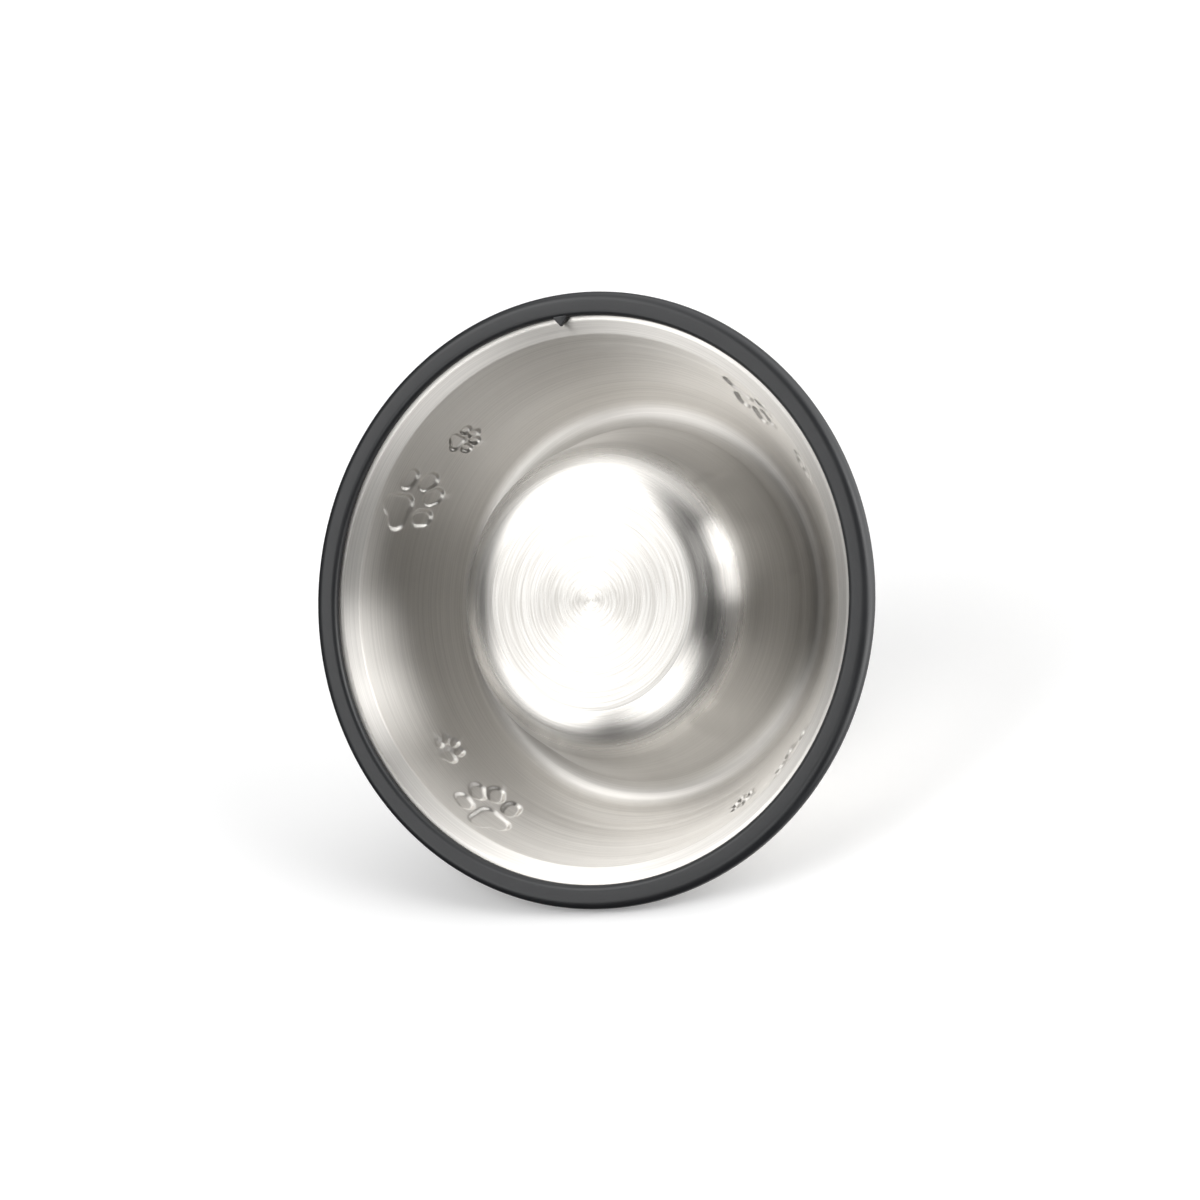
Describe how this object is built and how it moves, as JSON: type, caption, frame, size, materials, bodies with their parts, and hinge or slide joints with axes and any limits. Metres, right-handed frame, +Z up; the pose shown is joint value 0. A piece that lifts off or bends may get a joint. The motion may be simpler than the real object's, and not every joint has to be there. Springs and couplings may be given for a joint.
{
  "type": "dog bowl",
  "caption": "No-tip pet bowl: a flat-bottomed steel bowl with a rolled lip, a flared skirt embossed with paw prints and a rubber ring round its foot.",
  "frame": {"origin": "centre of the rubber ring's underside, on the surface that the bowl stands on", "axes": "+Z up along the bowl's axis; the mouth opens towards +Z"},
  "size_m": [0.22, 0.22, 0.05],
  "materials": {
    "stainless": "brushed round the axis, satin",
    "rubber": "matte moulded"
  },
  "bodies": {
    "root": {"bowl_shell": "stainless", "rubber_ring": "rubber"}
  },
  "joints": []
}
